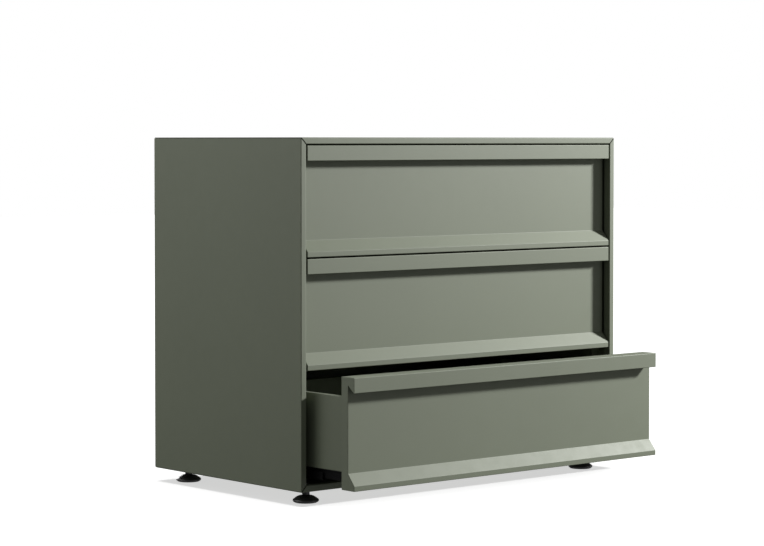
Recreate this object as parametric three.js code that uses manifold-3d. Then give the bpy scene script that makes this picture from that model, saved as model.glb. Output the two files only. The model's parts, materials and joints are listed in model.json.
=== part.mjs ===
// Three-drawer sheet-steel cabinet on levelling feet, with its bottom drawer partly open.
// Millimetres. +Z is up, +X is to the right and the drawers open towards -Y.
// The origin is on the floor, under the centre of the whole object.

import * as THREE from 'three';
import * as BufferGeometryUtils from 'three/addons/utils/BufferGeometryUtils.js';
import Module from 'manifold-3d';

const wasm = await Module();
wasm.setup();

// ---------------------------------------------------------------- driving dimensions

const WIDTH = 800;
const DEPTH = 450;
const CASING_HEIGHT = 635;
const FOOT_HEIGHT = 26;

const SHEET = 1.2; // thickness of all folded sheet
const FIT = 0.3; // gap between pieces that are fastened face to face

// Casing: each of its four outer panels is folded to the same section.
const EDGE = 12; // width of the casing's front and rear edges
const RETURN = 15; // how far the front edge folds back inside
const MITRE_GAP = 0.15; // half of the joint line between two panels

// Drawer fronts, inset between the casing's edges.
const FRONT_HEIGHT = 200;
const FRONT_GAP = 3; // between two fronts
const FRONT_END_GAP = 2.5; // above the top front and below the bottom one
const FRONT_SIDE_GAP = 3;
const FRONT_DEPTH = 35;
const RECESS = 17; // the panel stands this far behind the lip and the ledge
const LIP_HEIGHT = 28;
const LIP_ROOT = 14.5; // the lip's underside meets the panel this far below its top
const LEDGE_TOP = 170; // the ledge's slope starts this far below the front's top
const LEDGE_FACE = 9.5; // the ledge's upright face

// Drawer boxes, hung behind the fronts.
const BOX_INSET = 28; // casing's outer face to the box's outer face
const BOX_TOP = 37; // below the front's top
const BOX_HEIGHT = 134;
const BOX_END = 415; // the box's rear end, behind the casing's front
const BOX_FOLD = 12; // width of the folds along the box's sides
const BOX_FOLD_DROP = 10; // the top fold's inner leg

// Slides: three nested rails under each side of a box.
const RAIL_START = 38; // behind the casing's front
const RAIL_LENGTH = 400;
const INNER_RAIL_LENGTH = 377;
const RAIL_SHEET = 1.5;
const RAIL_HEIGHT = 23; // from the box's underside down

// Uprights: channels inside the casing's sides, which carry the cabinet rails.
const UPRIGHT_WIDTH = 20;
const UPRIGHT_DEPTH = 30;
const UPRIGHT_SHEET = 1.5;
const UPRIGHT_CLEARANCE = 3; // above and below
const FRONT_UPRIGHT = 38; // behind the casing's front
const REAR_UPRIGHT = 413;

// Levelling feet.
const FOOT_INSET_X = 47;
const FOOT_INSET_Y = 45.5;
const PAD_RADIUS = 24;
const PAD_BASE_RADIUS = 20;
const PAD_HEIGHT = 13.5;
const SOCKET_RADIUS = 5.3;
const SOCKET_FLOOR = 6;
const COLLAR_FLATS = 13;
const THREAD_RADIUS = 4;
const THREAD_TOP = 46;
const NUT_RADIUS = 10;
const NUT_HEIGHT = 8;
const ROUND_SEGMENTS = 32;

const BOTTOM_DRAWER_OPEN = 129;

const LEVELS = ['upper', 'middle', 'lower'];
const OPEN = { upper: 0, middle: 0, lower: BOTTOM_DRAWER_OPEN };
const SIDES = { left: -1, right: 1 };

// ---------------------------------------------------------------- materials

const paint = { color: 0x74786b, roughness: 0.5, metalness: 0.0 };
const zinc = { color: 0xa9acae, roughness: 0.35, metalness: 0.9 };
const blackPlastic = { color: 0x121214, roughness: 0.4, metalness: 0.0 };
const blackSteel = { color: 0x1c1c1e, roughness: 0.45, metalness: 0.7 };

function piece(name, geometry, look) {
  const mesh = new THREE.Mesh(geometry, new THREE.MeshStandardMaterial(look));
  mesh.name = name;
  return mesh;
}

// ---------------------------------------------------------------- geometry helpers

function extrude(outline, length) {
  const shape = new THREE.Shape(outline.map(([x, y]) => new THREE.Vector2(x, y)));
  return new THREE.ExtrudeGeometry(shape, { depth: length, bevelEnabled: false });
}

// An outline of (y, z) points, run along X and centred on it.
function extrudeAlongX(outline, length) {
  const basis = new THREE.Matrix4().makeBasis(
    new THREE.Vector3(0, 1, 0),
    new THREE.Vector3(0, 0, 1),
    new THREE.Vector3(1, 0, 0),
  );
  return extrude(outline, length).applyMatrix4(basis).translate(-length / 2, 0, 0);
}

// An outline of (x, z) points, run back along Y from zero.
function extrudeAlongY(outline, length) {
  return extrude(outline, length).rotateX(Math.PI / 2).translate(0, length, 0);
}

function plate(sizeX, sizeY, sizeZ) {
  return new THREE.BoxGeometry(sizeX, sizeY, sizeZ);
}

function turned(profile) {
  const points = profile.map(([radius, height]) => new THREE.Vector2(radius, height));
  return new THREE.LatheGeometry(points, ROUND_SEGMENTS).rotateX(Math.PI / 2);
}

function uprightCylinder(radius, bottom, top, segments = ROUND_SEGMENTS) {
  const height = top - bottom;
  const cylinder = new THREE.CylinderGeometry(radius, radius, height, segments);
  return cylinder.rotateX(Math.PI / 2).translate(0, 0, bottom + height / 2);
}

function toSolid(geometry) {
  const bare = geometry.clone();
  bare.deleteAttribute('normal');
  bare.deleteAttribute('uv');
  const merged = BufferGeometryUtils.mergeVertices(bare, 1e-4);
  return new wasm.Manifold(new wasm.Mesh({
    numProp: 3,
    vertProperties: merged.attributes.position.array,
    triVerts: new Uint32Array(merged.index.array),
  }));
}

function toGeometry(solid) {
  const mesh = solid.getMesh();
  const geometry = new THREE.BufferGeometry();
  geometry.setAttribute('position', new THREE.BufferAttribute(mesh.vertProperties, 3));
  geometry.setIndex(new THREE.BufferAttribute(mesh.triVerts, 1));
  geometry.computeVertexNormals();
  return geometry;
}

function cut(geometry, ...cutters) {
  let solid = toSolid(geometry);
  for (const cutter of cutters) {
    solid = solid.subtract(toSolid(cutter));
  }
  return toGeometry(solid);
}

function join(...geometries) {
  let solid = toSolid(geometries[0]);
  for (const geometry of geometries.slice(1)) {
    solid = solid.add(toSolid(geometry));
  }
  return toGeometry(solid);
}

// ---------------------------------------------------------------- casing

// The section of an outer panel: depth back from the front edge, and distance inwards.
function casingOutline() {
  return [
    [0, 0],
    [DEPTH, 0],
    [DEPTH, EDGE],
    [DEPTH - SHEET, EDGE],
    [DEPTH - SHEET, SHEET],
    [SHEET, SHEET],
    [SHEET, EDGE - SHEET],
    [RETURN, EDGE - SHEET],
    [RETURN, EDGE],
    [0, EDGE],
  ];
}

// An outer panel lying on its outer face. Each end is mitred: it draws back by as much
// as the material stands inwards.
function casingPanel(length) {
  const geometry = extrudeAlongX(casingOutline(), length);
  const position = geometry.attributes.position;
  for (let i = 0; i < position.count; i += 1) {
    const drawnBack = length / 2 - position.getZ(i) - MITRE_GAP;
    position.setX(i, Math.sign(position.getX(i)) * drawnBack);
  }
  return geometry;
}

function footPlaces() {
  const places = [];
  for (const [end, y] of [['front', FOOT_INSET_Y], ['rear', DEPTH - FOOT_INSET_Y]]) {
    for (const [side, sign] of Object.entries(SIDES)) {
      places.push({ name: `${end}_${side}`, x: sign * (WIDTH / 2 - FOOT_INSET_X), y });
    }
  }
  return places;
}

function bottomPanel() {
  const radius = THREAD_RADIUS + 0.75;
  const holes = footPlaces().map(({ x, y }) => (
    uprightCylinder(radius, -SHEET, 2 * SHEET, ROUND_SEGMENTS / 2).translate(x, y, 0)
  ));
  return cut(casingPanel(WIDTH), ...holes);
}

// The back closes the casing from inside its rear edges, with a fold along its top and bottom.
function backPanel() {
  const rear = DEPTH - SHEET - FIT;
  const bottom = FOOT_HEIGHT + SHEET + FIT;
  const top = FOOT_HEIGHT + CASING_HEIGHT - SHEET - FIT;
  const outline = [
    [rear, bottom],
    [rear, top],
    [rear - EDGE, top],
    [rear - EDGE, top - SHEET],
    [rear - SHEET, top - SHEET],
    [rear - SHEET, bottom + SHEET],
    [rear - EDGE, bottom + SHEET],
    [rear - EDGE, bottom],
  ];
  return extrudeAlongX(outline, WIDTH - 2 * (SHEET + FIT));
}

// A channel that opens outwards, towards the side panel. Side is -1 on the left.
function upright(side) {
  const outer = WIDTH / 2 - SHEET - FIT;
  const inner = outer - UPRIGHT_WIDTH;
  const outline = [
    [side * outer, 0],
    [side * inner, 0],
    [side * inner, UPRIGHT_DEPTH],
    [side * outer, UPRIGHT_DEPTH],
    [side * outer, UPRIGHT_DEPTH - UPRIGHT_SHEET],
    [side * (inner + UPRIGHT_SHEET), UPRIGHT_DEPTH - UPRIGHT_SHEET],
    [side * (inner + UPRIGHT_SHEET), UPRIGHT_SHEET],
    [side * outer, UPRIGHT_SHEET],
  ];
  const height = CASING_HEIGHT - 2 * (SHEET + UPRIGHT_CLEARANCE);
  return extrude(outline, height).translate(0, 0, FOOT_HEIGHT + SHEET + UPRIGHT_CLEARANCE);
}

function buildCasing() {
  const casing = new THREE.Group();

  const bottom = piece('bottom_panel', bottomPanel(), paint);
  bottom.position.z = FOOT_HEIGHT;

  const top = piece('top_panel', casingPanel(WIDTH), paint);
  top.rotation.y = Math.PI;
  top.position.z = FOOT_HEIGHT + CASING_HEIGHT;
  casing.add(bottom, top, piece('back_panel', backPanel(), paint));

  for (const [side, sign] of Object.entries(SIDES)) {
    const panel = piece(`${side}_side_panel`, casingPanel(CASING_HEIGHT), paint);
    panel.rotation.y = -sign * Math.PI / 2;
    panel.position.set(sign * WIDTH / 2, 0, FOOT_HEIGHT + CASING_HEIGHT / 2);
    casing.add(panel);
    for (const [end, y] of [['front', FRONT_UPRIGHT], ['rear', REAR_UPRIGHT]]) {
      const channel = piece(`${end}_${side}_upright`, upright(sign), paint);
      channel.position.y = y;
      casing.add(channel);
    }
  }
  return casing;
}

// ---------------------------------------------------------------- drawers

// The front's section: depth back from its face, and height from its top edge.
function frontOutline() {
  return [
    [0, 0],
    [0, -LIP_HEIGHT],
    [RECESS, -LIP_ROOT],
    [RECESS, -LEDGE_TOP],
    [0, LEDGE_FACE - FRONT_HEIGHT],
    [0, -FRONT_HEIGHT],
    [FRONT_DEPTH, -FRONT_HEIGHT],
    [FRONT_DEPTH, 0],
  ];
}

// The outline moved inwards by one thickness of sheet. Its points run anticlockwise.
function insideOutline(outline, thickness) {
  const count = outline.length;
  const lines = outline.map((start, i) => {
    const end = outline[(i + 1) % count];
    const length = Math.hypot(end[0] - start[0], end[1] - start[1]);
    const along = [(end[0] - start[0]) / length, (end[1] - start[1]) / length];
    const point = [start[0] - along[1] * thickness, start[1] + along[0] * thickness];
    return { point, along };
  });
  return lines.map((line, i) => {
    const before = lines[(i + count - 1) % count];
    const cross = before.along[0] * line.along[1] - before.along[1] * line.along[0];
    const dx = line.point[0] - before.point[0];
    const dy = line.point[1] - before.point[1];
    const distance = (dx * line.along[1] - dy * line.along[0]) / cross;
    return [
      before.point[0] + distance * before.along[0],
      before.point[1] + distance * before.along[1],
    ];
  });
}

const FRONT_WIDTH = WIDTH - 2 * (EDGE + FRONT_SIDE_GAP);

// A folded skin with closed ends, open at the back.
function frontSkin() {
  const pocket = insideOutline(frontOutline(), SHEET).map(([depth, height]) => (
    depth > RECESS + 2 * SHEET ? [FRONT_DEPTH + SHEET, height] : [depth, height]
  ));
  const skin = extrudeAlongX(frontOutline(), FRONT_WIDTH);
  return cut(skin, extrudeAlongX(pocket, FRONT_WIDTH - 2 * SHEET));
}

// A flat plate that closes the skin's back, flush with its rim.
function frontLiner() {
  const margin = 2 * (SHEET + FIT);
  const liner = plate(FRONT_WIDTH - margin, SHEET, FRONT_HEIGHT - margin);
  return liner.translate(0, FRONT_DEPTH - SHEET / 2, -FRONT_HEIGHT / 2);
}

// The section of a box side, from its lower outer corner. It folds inwards along its
// bottom, to carry the box's floor, and along its top.
function boxSide(side) {
  const outline = [
    [0, 0],
    [BOX_FOLD, 0],
    [BOX_FOLD, SHEET],
    [SHEET, SHEET],
    [SHEET, BOX_HEIGHT - SHEET],
    [BOX_FOLD - SHEET, BOX_HEIGHT - SHEET],
    [BOX_FOLD - SHEET, BOX_HEIGHT - BOX_FOLD_DROP - SHEET],
    [BOX_FOLD, BOX_HEIGHT - BOX_FOLD_DROP - SHEET],
    [BOX_FOLD, BOX_HEIGHT],
    [0, BOX_HEIGHT],
  ];
  const placed = outline.map(([inwards, height]) => [side * (WIDTH / 2 - BOX_INSET - inwards), height]);
  const start = FRONT_DEPTH + FIT;
  return extrudeAlongY(placed, BOX_END - start).translate(0, start, 0);
}

const BOX_INNER_WIDTH = WIDTH - 2 * (BOX_INSET + SHEET + FIT);

function boxFloor() {
  const start = FRONT_DEPTH + 2 * FIT;
  const length = BOX_END - start;
  const bottom = SHEET + FIT;
  return plate(BOX_INNER_WIDTH, length, SHEET).translate(0, start + length / 2, bottom + SHEET / 2);
}

// The back stands on the floor, under the sides' top folds. Its own top folds outwards.
function boxBack() {
  const bottom = 2 * (SHEET + FIT);
  const top = BOX_HEIGHT - BOX_FOLD_DROP - SHEET - FIT;
  const outline = [
    [BOX_END - SHEET, bottom],
    [BOX_END, bottom],
    [BOX_END, top - SHEET],
    [BOX_END + BOX_FOLD, top - SHEET],
    [BOX_END + BOX_FOLD, top],
    [BOX_END - SHEET, top],
  ];
  return extrudeAlongX(outline, BOX_INNER_WIDTH);
}

function buildDrawer(level) {
  const drawer = new THREE.Group();
  drawer.add(
    piece(`${level}_drawer_front`, frontSkin(), paint),
    piece(`${level}_drawer_liner`, frontLiner(), paint),
  );

  const box = new THREE.Group();
  box.position.z = -BOX_TOP - BOX_HEIGHT;
  box.add(
    piece(`${level}_drawer_floor`, boxFloor(), paint),
    piece(`${level}_drawer_back`, boxBack(), paint),
  );
  for (const [side, sign] of Object.entries(SIDES)) {
    box.add(
      piece(`${level}_drawer_${side}_side`, boxSide(sign), paint),
      piece(`${level}_${side}_drawer_rail`, drawerRail(sign), blackSteel),
    );
  }
  drawer.add(box);
  return drawer;
}

// ---------------------------------------------------------------- slides

// Each rail's section gives the distance inwards from the casing's outer face, and the
// height from the box's underside. The drawer rail rolls in the telescope rail, and the
// telescope rail in the cabinet rail, with room for balls on both sides.
const RAIL_OUTER = SHEET + FIT + UPRIGHT_WIDTH + FIT; // the cabinet rail's back
const RAIL_INNER = 48; // the cabinet rail's inner edge
const CABINET_RAIL_LIP = 10;
const TELESCOPE_OUTER = 27.5;
const TELESCOPE_INNER = 42.5;
const TELESCOPE_TOP = -6;
const TELESCOPE_BOTTOM = -20.5;
const DRAWER_RAIL_FLANGE = [29, 46];
const DRAWER_RAIL_LEGS = [31.5, 38.5];
const DRAWER_RAIL_BOTTOM = -17;

function rail(side, outline, length) {
  const placed = outline.map(([inwards, height]) => [side * (WIDTH / 2 - inwards), height]);
  return extrudeAlongY(placed, length).translate(0, RAIL_START, 0);
}

function cabinetRail(side) {
  const outline = [
    [RAIL_OUTER, 0],
    [RAIL_OUTER, -RAIL_HEIGHT],
    [RAIL_INNER, -RAIL_HEIGHT],
    [RAIL_INNER, CABINET_RAIL_LIP - RAIL_HEIGHT],
    [RAIL_INNER - RAIL_SHEET, CABINET_RAIL_LIP - RAIL_HEIGHT],
    [RAIL_INNER - RAIL_SHEET, RAIL_SHEET - RAIL_HEIGHT],
    [RAIL_OUTER + RAIL_SHEET, RAIL_SHEET - RAIL_HEIGHT],
    [RAIL_OUTER + RAIL_SHEET, 0],
  ];
  return rail(side, outline, RAIL_LENGTH);
}

function telescopeRail(side) {
  const outline = [
    [TELESCOPE_OUTER, TELESCOPE_TOP],
    [TELESCOPE_OUTER, TELESCOPE_BOTTOM],
    [TELESCOPE_INNER, TELESCOPE_BOTTOM],
    [TELESCOPE_INNER, TELESCOPE_TOP],
    [TELESCOPE_INNER - SHEET, TELESCOPE_TOP],
    [TELESCOPE_INNER - SHEET, TELESCOPE_BOTTOM + SHEET],
    [TELESCOPE_OUTER + SHEET, TELESCOPE_BOTTOM + SHEET],
    [TELESCOPE_OUTER + SHEET, TELESCOPE_TOP],
  ];
  return rail(side, outline, INNER_RAIL_LENGTH);
}

function drawerRail(side) {
  const [flangeOuter, flangeInner] = DRAWER_RAIL_FLANGE;
  const [legOuter, legInner] = DRAWER_RAIL_LEGS;
  const top = -FIT;
  const outline = [
    [flangeOuter, top],
    [flangeOuter, top - RAIL_SHEET],
    [legOuter, top - RAIL_SHEET],
    [legOuter, DRAWER_RAIL_BOTTOM],
    [legOuter + RAIL_SHEET, DRAWER_RAIL_BOTTOM],
    [legOuter + RAIL_SHEET, top - RAIL_SHEET],
    [legInner - RAIL_SHEET, top - RAIL_SHEET],
    [legInner - RAIL_SHEET, DRAWER_RAIL_BOTTOM],
    [legInner, DRAWER_RAIL_BOTTOM],
    [legInner, top - RAIL_SHEET],
    [flangeInner, top - RAIL_SHEET],
    [flangeInner, top],
  ];
  return rail(side, outline, INNER_RAIL_LENGTH);
}

function frontTop(index) {
  const first = FOOT_HEIGHT + CASING_HEIGHT - EDGE - FRONT_END_GAP;
  return first - index * (FRONT_HEIGHT + FRONT_GAP);
}

// The telescope rails stand half as far out as their drawer.
function buildLevel(level, index) {
  const group = new THREE.Group();
  const drawer = buildDrawer(level);
  drawer.position.set(0, -OPEN[level], frontTop(index));
  group.add(drawer);
  for (const [side, sign] of Object.entries(SIDES)) {
    const fixed = piece(`${level}_${side}_cabinet_rail`, cabinetRail(sign), blackSteel);
    const telescope = piece(`${level}_${side}_telescope_rail`, telescopeRail(sign), blackSteel);
    fixed.position.z = frontTop(index) - BOX_TOP - BOX_HEIGHT;
    telescope.position.set(0, -OPEN[level] / 2, fixed.position.z);
    group.add(fixed, telescope);
  }
  return group;
}

// ---------------------------------------------------------------- feet

// A domed pad with a socket in its top. Heights are above the floor.
function footPad() {
  return turned([
    [0, 0],
    [PAD_BASE_RADIUS, 0],
    [PAD_RADIUS - 1.2, 1.4],
    [PAD_RADIUS, 3.2],
    [PAD_RADIUS, 4.6],
    [PAD_RADIUS - 1.2, 6.4],
    [PAD_RADIUS - 4, 8.6],
    [PAD_RADIUS - 8, 10.6],
    [PAD_RADIUS - 12.5, 12.2],
    [PAD_RADIUS - 16, PAD_HEIGHT],
    [SOCKET_RADIUS, PAD_HEIGHT],
    [SOCKET_RADIUS, SOCKET_FLOOR],
    [0, SOCKET_FLOOR],
  ]);
}

// A threaded stem with a hexagonal collar, whose lower end turns in the pad's socket.
function footStem() {
  const collarRadius = COLLAR_FLATS / Math.sqrt(3);
  const collarTop = FOOT_HEIGHT - FIT;
  return join(
    uprightCylinder(SOCKET_RADIUS - FIT, SOCKET_FLOOR + FIT, PAD_HEIGHT + 2 * FIT),
    uprightCylinder(collarRadius, PAD_HEIGHT + FIT, collarTop, 6),
    uprightCylinder(THREAD_RADIUS, collarTop - SHEET, THREAD_TOP, ROUND_SEGMENTS / 2),
  );
}

// A threaded insert on the bottom panel's inner face.
function footNut() {
  const bore = THREAD_RADIUS + FIT;
  const bottom = FOOT_HEIGHT + SHEET + FIT;
  const nut = uprightCylinder(NUT_RADIUS, bottom, bottom + NUT_HEIGHT);
  return cut(nut, uprightCylinder(bore, bottom - SHEET, bottom + NUT_HEIGHT + SHEET, ROUND_SEGMENTS / 2));
}

function buildFeet() {
  const feet = new THREE.Group();
  for (const { name, x, y } of footPlaces()) {
    const foot = new THREE.Group();
    foot.position.set(x, y, 0);
    foot.add(
      piece(`${name}_foot_pad`, footPad(), blackPlastic),
      piece(`${name}_foot_stem`, footStem(), blackSteel),
      piece(`${name}_foot_nut`, footNut(), zinc),
    );
    feet.add(foot);
  }
  return feet;
}

// ---------------------------------------------------------------- the whole cabinet

const cabinet = new THREE.Group();
cabinet.position.y = (BOTTOM_DRAWER_OPEN - DEPTH) / 2;
cabinet.add(buildCasing(), buildFeet(), ...LEVELS.map(buildLevel));

const group = new THREE.Group();
group.add(cabinet);

export default group;
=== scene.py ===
"""Looks of the three-drawer sheet-steel cabinet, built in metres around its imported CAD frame.

Front faces -Y, +X is to the right and +Z is up. Every folded sheet is rebuilt with rounded
folds over its CAD node, and screws, rivets, balls and threads are added to the moving bodies.
"""

import json
import math

import bmesh
import bpy
from mathutils import Matrix, Vector

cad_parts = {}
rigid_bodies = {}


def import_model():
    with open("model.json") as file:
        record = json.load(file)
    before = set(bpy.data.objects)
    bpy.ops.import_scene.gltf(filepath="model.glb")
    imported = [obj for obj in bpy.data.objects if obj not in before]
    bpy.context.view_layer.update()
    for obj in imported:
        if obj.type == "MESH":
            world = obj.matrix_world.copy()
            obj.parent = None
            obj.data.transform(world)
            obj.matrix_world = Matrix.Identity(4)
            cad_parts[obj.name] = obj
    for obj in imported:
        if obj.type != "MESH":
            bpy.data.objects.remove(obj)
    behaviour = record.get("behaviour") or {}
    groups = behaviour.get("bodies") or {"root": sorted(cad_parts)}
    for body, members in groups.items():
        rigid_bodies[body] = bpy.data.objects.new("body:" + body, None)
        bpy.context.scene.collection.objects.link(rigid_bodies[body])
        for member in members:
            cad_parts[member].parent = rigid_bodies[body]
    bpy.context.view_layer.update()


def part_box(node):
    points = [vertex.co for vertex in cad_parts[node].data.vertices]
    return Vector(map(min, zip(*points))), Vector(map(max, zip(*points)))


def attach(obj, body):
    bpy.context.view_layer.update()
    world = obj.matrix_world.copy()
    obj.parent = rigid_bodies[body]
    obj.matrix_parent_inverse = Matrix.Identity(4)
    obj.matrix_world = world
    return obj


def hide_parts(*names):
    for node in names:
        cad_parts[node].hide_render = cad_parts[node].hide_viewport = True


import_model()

MM = 0.001
LEVELS = ("upper", "middle", "lower")
SIDES = {"left": -1, "right": 1}
ENDS = ("front", "rear")
X, Y, Z = range(3)
TO_RIGHT, TO_REAR, UP = (1, 0, 0), (0, 1, 0), (0, 0, 1)

# ------------------------------------------------------------------ sizes shared with the CAD

SHEET = 1.2 * MM
EDGE = 12 * MM  # width of the casing's edges
RETURN = 15 * MM  # the front edge's fold inside
RECESS = 17 * MM  # the front's panel stands this far behind its lip
LIP_HEIGHT = 28 * MM  # at its face
LIP_ROOT = 14.5 * MM  # from the front's top to where the lip's underside meets the panel
LEDGE_TOP = 170 * MM  # from the front's top to where the ledge starts to slope out
LEDGE_FACE = 9.5 * MM  # the ledge's upright face
BOX_FOLD_DROP = 10 * MM  # how far a box side's folded top hangs down inside the box
RAIL_SHEET = 1.5 * MM
CABINET_RAIL_LIP = 10 * MM  # the height of its inner wall above its floor's outer face
DRAWER_RAIL_FLANGE = 2.5 * MM  # from the flange's outer edge to the outer leg
DRAWER_RAIL_LEGS = 7 * MM  # across both legs
UPRIGHT_SHEET = 1.5 * MM
THREAD_RADIUS = 4 * MM
THREAD_PITCH = 1.25 * MM
PAD_HEIGHT = 13.5 * MM
SOCKET_RADIUS = 5.3 * MM
SOCKET_FLOOR = 6 * MM

# ------------------------------------------------------------------ sizes of the looks alone

BEND = 1.6 * MM  # outer radius of a fold
INNER_BEND = 0.4 * MM
CUT_EDGE = 0.2 * MM  # radius of a sheet's cut edges
UPRIGHT_BEND = 2.2 * MM
RAIL_BEND = 2.0 * MM
TELESCOPE_BEND = 1.8 * MM
PLATE_CORNER = 1.5 * MM
JOINT_LINE = 1.4 * MM  # how far each mitre draws back
SOFT_EDGE = 0.18 * MM  # rounding of the ends of folded sheet, less than CUT_EDGE
FRONT_SOFT_EDGE = 0.9 * MM
FRONT_BEND = 1.2 * MM
FRONT_CORNER = 1.0 * MM
PANEL_CORNER = 0.6 * MM  # where the lip's underside meets the panel
HOOK_POINT = 0.6 * MM  # how far the lip's hook reaches below the lip's height
HOLLOW_RIM = 0.3 * MM  # left round the hollow in the front's back
HOLLOW_TAPER = 0.02 * MM
HOLLOW_DEPTH = 3 * MM
FLATNESS = 0.01 * MM  # a face this close to a plane counts as lying in it

ARC_STEP = math.radians(15)  # the most that one step of an arc turns
SHARP_ANGLE = math.radians(50)  # an edge that turns more than this is shaded as sharp
END_ANGLES = (0, 30, 60, 90)  # degrees, the steps of a prism's rounded end
MITRE_LIMIT = 0.3  # keeps an inset short at a pointed corner


# ------------------------------------------------------------------ outlines

def rounded(corners):
    """Turns (x, y, radius) corners into points, with an arc at each corner that has a radius."""
    points = []
    count = len(corners)
    for i, (x, y, radius) in enumerate(corners):
        here = Vector((x, y))
        if radius <= 0:
            points.append(here)
            continue
        before = (Vector(corners[i - 1][:2]) - here).normalized()
        after = (Vector(corners[(i + 1) % count][:2]) - here).normalized()
        half = before.angle(after) / 2
        centre = here + (before + after).normalized() * (radius / math.sin(half))
        first = here + before * (radius / math.tan(half)) - centre
        last = here + after * (radius / math.tan(half)) - centre
        turn = math.atan2(first.x * last.y - first.y * last.x, first.dot(last))
        steps = max(2, math.ceil(abs(turn) / ARC_STEP))
        for step in range(steps + 1):
            points.append(centre + Matrix.Rotation(turn * step / steps, 2) @ first)
    return points


def folded(spine, thickness, outer=BEND):
    """The outline of a folded sheet. The spine runs along the outer side of its folds."""
    spine = [Vector(point) for point in spine]
    directions = [(b - a).normalized() for a, b in zip(spine, spine[1:])]
    side = math.copysign(1, cross(directions[0], directions[1]))
    across = [Vector((-d.y, d.x)) * side * thickness for d in directions]
    near = [(*spine[0], CUT_EDGE)]
    far = [(*(spine[0] + across[0]), CUT_EDGE)]
    for i in range(1, len(spine) - 1):
        offset = across[i - 1] + across[i]
        inside = spine[i] + offset * (thickness ** 2 / offset.dot(across[i]))
        same_way = cross(directions[i - 1], directions[i]) * side > 0
        near.append((*spine[i], outer if same_way else INNER_BEND))
        far.append((*inside, INNER_BEND if same_way else outer))
    near.append((*spine[-1], CUT_EDGE))
    far.append((*(spine[-1] + across[-1]), CUT_EDGE))
    return rounded(near + far[::-1])


def cross(a, b):
    """The cross product of two vectors in the plane."""
    return a.x * b.y - a.y * b.x


def inset(outline, distance):
    """The same outline, drawn inwards all round."""
    count = len(outline)
    area = sum(cross(a, b) for a, b in zip(outline, outline[1:] + outline[:1]))
    points = []
    for i, here in enumerate(outline):
        before = (here - outline[i - 1]).normalized()
        after = (outline[(i + 1) % count] - here).normalized()
        normal = Vector((-before.y - after.y, before.x + after.x)).normalized()
        share = max(MITRE_LIMIT, Vector((-before.y, before.x)).dot(normal))
        points.append(here + normal * (math.copysign(distance, area) / share))
    return points


def spread(low, high, count):
    """Evenly spaced values from low to high, both included."""
    return [low + (high - low) * i / (count - 1) for i in range(count)]


# ------------------------------------------------------------------ meshes

def finished(name, bm, material, body, nodes=(), cutter=None):
    """Makes bm a piece with a material, riding on a body in place of nodes."""
    bmesh.ops.recalc_face_normals(bm, faces=bm.faces)
    mesh = bpy.data.meshes.new(name)
    bm.to_mesh(mesh)
    bm.free()
    piece = bpy.data.objects.new(name, mesh)
    bpy.context.scene.collection.objects.link(piece)
    if cutter:
        cut(piece, cutter)
    piece.data.materials.clear()
    piece.data.materials.append(material)
    piece.data.shade_smooth()
    piece.data.set_sharp_from_angle(angle=SHARP_ANGLE)
    normals = piece.modifiers.new("normals", "WEIGHTED_NORMAL")
    normals.keep_sharp = True
    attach(piece, body)
    if nodes:
        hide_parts(*nodes)
    return piece


def cut(piece, cutter):
    """Cuts the closed mesh cutter, a bmesh, out of the piece."""
    bmesh.ops.recalc_face_normals(cutter, faces=cutter.faces)
    mesh = bpy.data.meshes.new("cutter")
    cutter.to_mesh(mesh)
    cutter.free()
    tool = bpy.data.objects.new("cutter", mesh)
    bpy.context.scene.collection.objects.link(tool)
    holes = piece.modifiers.new("holes", "BOOLEAN")
    holes.operation = "DIFFERENCE"
    holes.solver = "EXACT"
    holes.object = tool
    bpy.context.view_layer.update()
    evaluated = piece.evaluated_get(bpy.context.evaluated_depsgraph_get())
    piece.data = bpy.data.meshes.new_from_object(evaluated)
    piece.modifiers.clear()
    bpy.data.objects.remove(tool)


def place(along, a, b, t):
    """A point from two outline coordinates and one along the prism's axis."""
    return [(t, a, b), (a, t, b), (a, b, t)][along]


def add_prism(bm, outline, along, start, end, soft=SOFT_EDGE, trim=None):
    """Adds a closed prism whose ends are rounded by soft, and returns its side faces.

    trim(point) draws both of its ends back at that outline point.
    """
    sections = []
    for angle in END_ANGLES:
        turn = math.radians(angle)
        sections.append((soft * (1 - math.sin(turn)), soft * (1 - math.cos(turn))))
    rings = []
    for t, sign, steps in ((start, 1, sections), (end, -1, sections[::-1])):
        for shrink, back in steps:
            ring = []
            for point in inset(outline, shrink) if shrink > 0 else outline:
                drawn = trim(point) if trim else 0.0
                corner = place(along, point[0], point[1], t + sign * (back + drawn))
                ring.append(bm.verts.new(corner))
            rings.append(ring)
    bm.faces.new(rings[0])
    bm.faces.new(rings[-1][::-1])
    sides = []
    for low, high in zip(rings, rings[1:]):
        for i in range(len(outline)):
            j = (i + 1) % len(outline)
            sides.append(bm.faces.new((low[i], high[i], high[j], low[j])))
    return sides


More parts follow.
